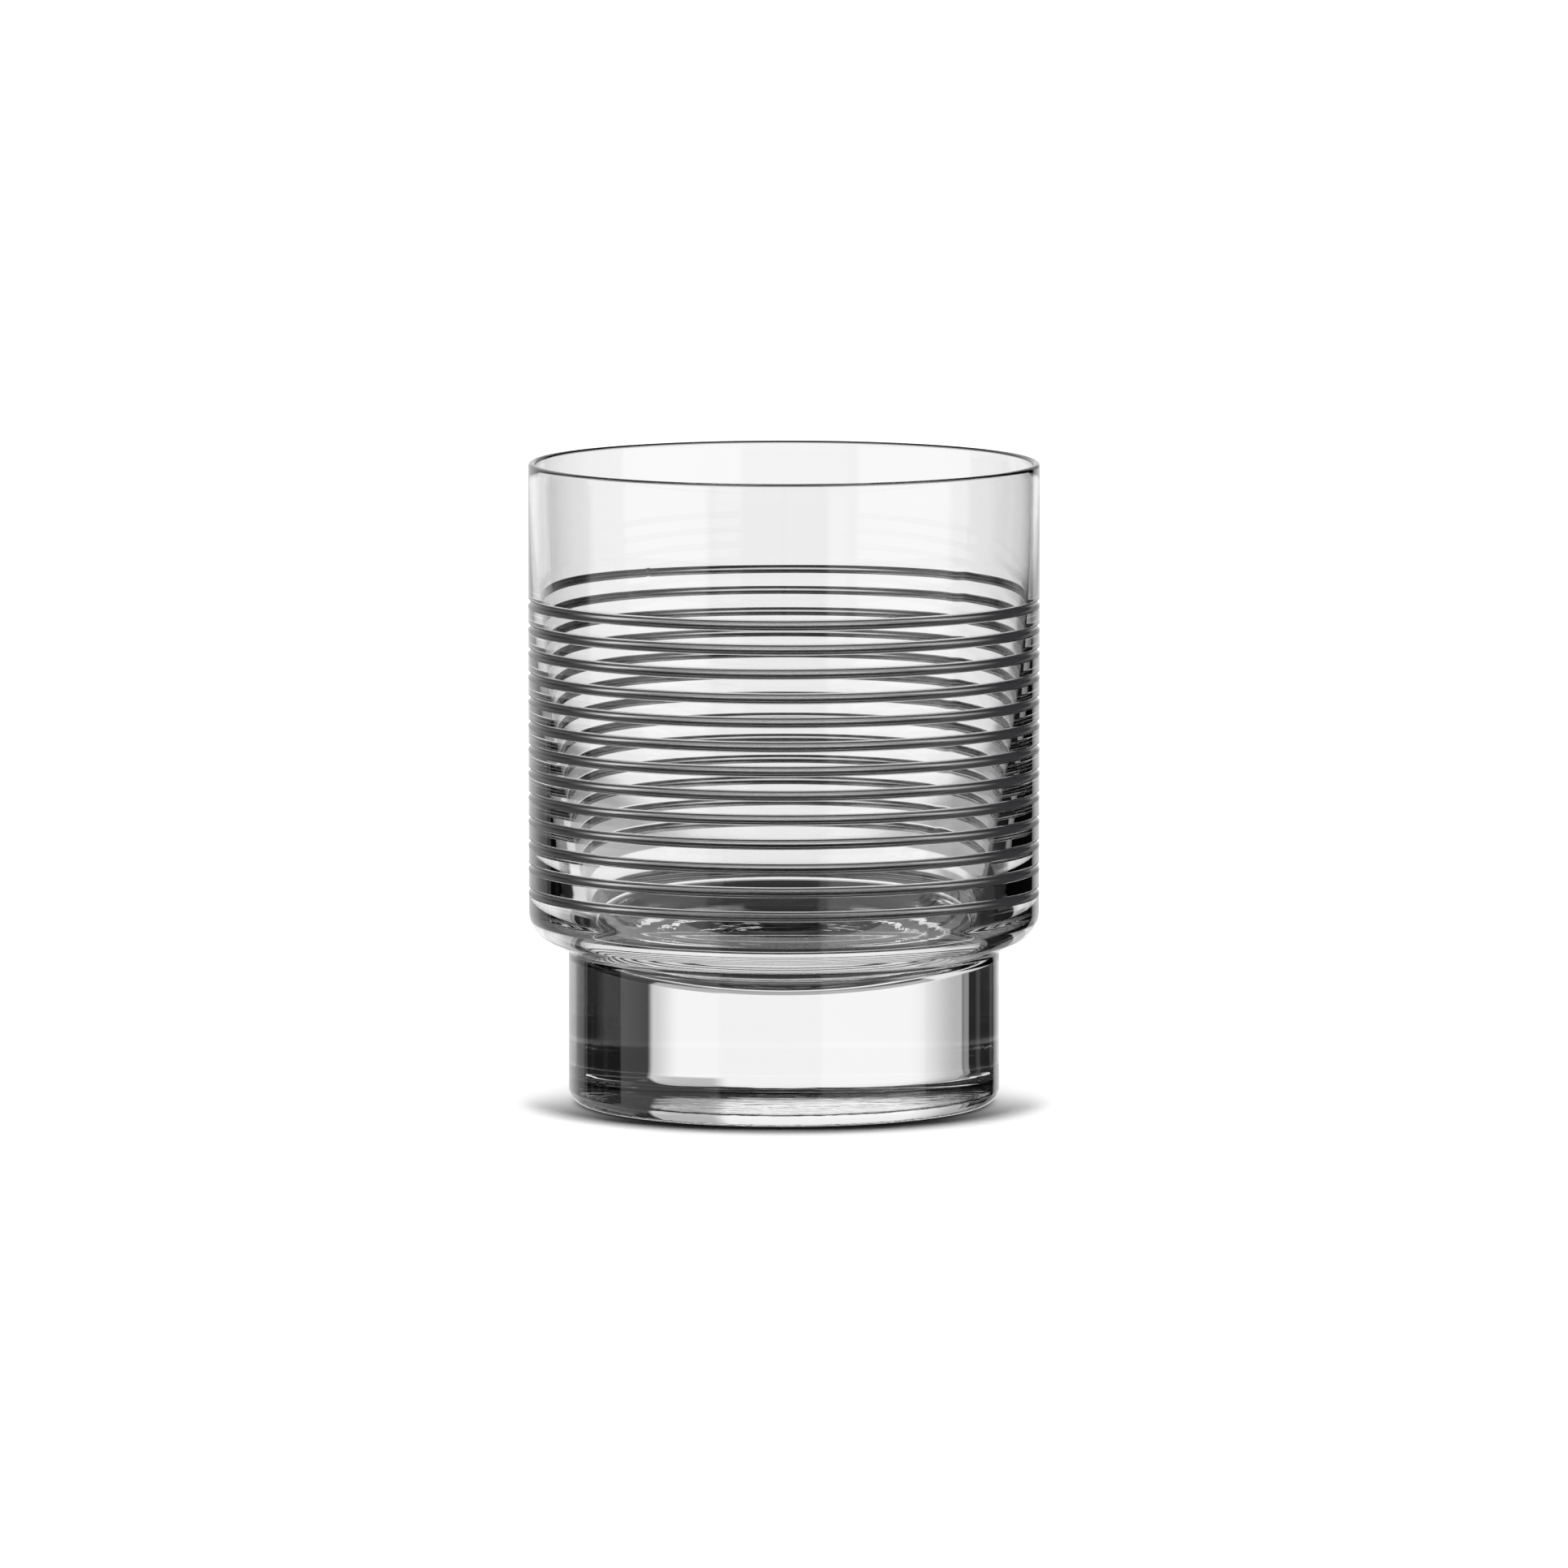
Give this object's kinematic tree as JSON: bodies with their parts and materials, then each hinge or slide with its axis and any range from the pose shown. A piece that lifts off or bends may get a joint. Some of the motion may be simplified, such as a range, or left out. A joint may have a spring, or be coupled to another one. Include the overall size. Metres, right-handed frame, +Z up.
{
  "type": "whiskey tumbler",
  "caption": "Clear glass whiskey tumbler: a straight bowl with a thin rim and dark engraved lines, on a narrower thick solid foot.",
  "frame": {"origin": "centre of the underside of the foot, on the surface that the tumbler stands on", "axes": "+Z up along the tumbler's axis, from the foot to the rim; the shape is round about Z, so X and Y are arbitrary"},
  "size_m": [0.0834, 0.0834, 0.105],
  "materials": {
    "clear_glass": "gloss",
    "line_lining": "satin"
  },
  "bodies": {
    "root": {"glass_body": "clear_glass", "ring_01": "line_lining", "ring_02": "line_lining", "ring_03": "line_lining", "ring_04": "line_lining", "ring_05": "line_lining", "ring_06": "line_lining", "ring_07": "line_lining", "ring_08": "line_lining", "ring_09": "line_lining", "ring_10": "line_lining", "ring_11": "line_lining", "ring_12": "line_lining", "ring_13": "line_lining"}
  },
  "joints": []
}
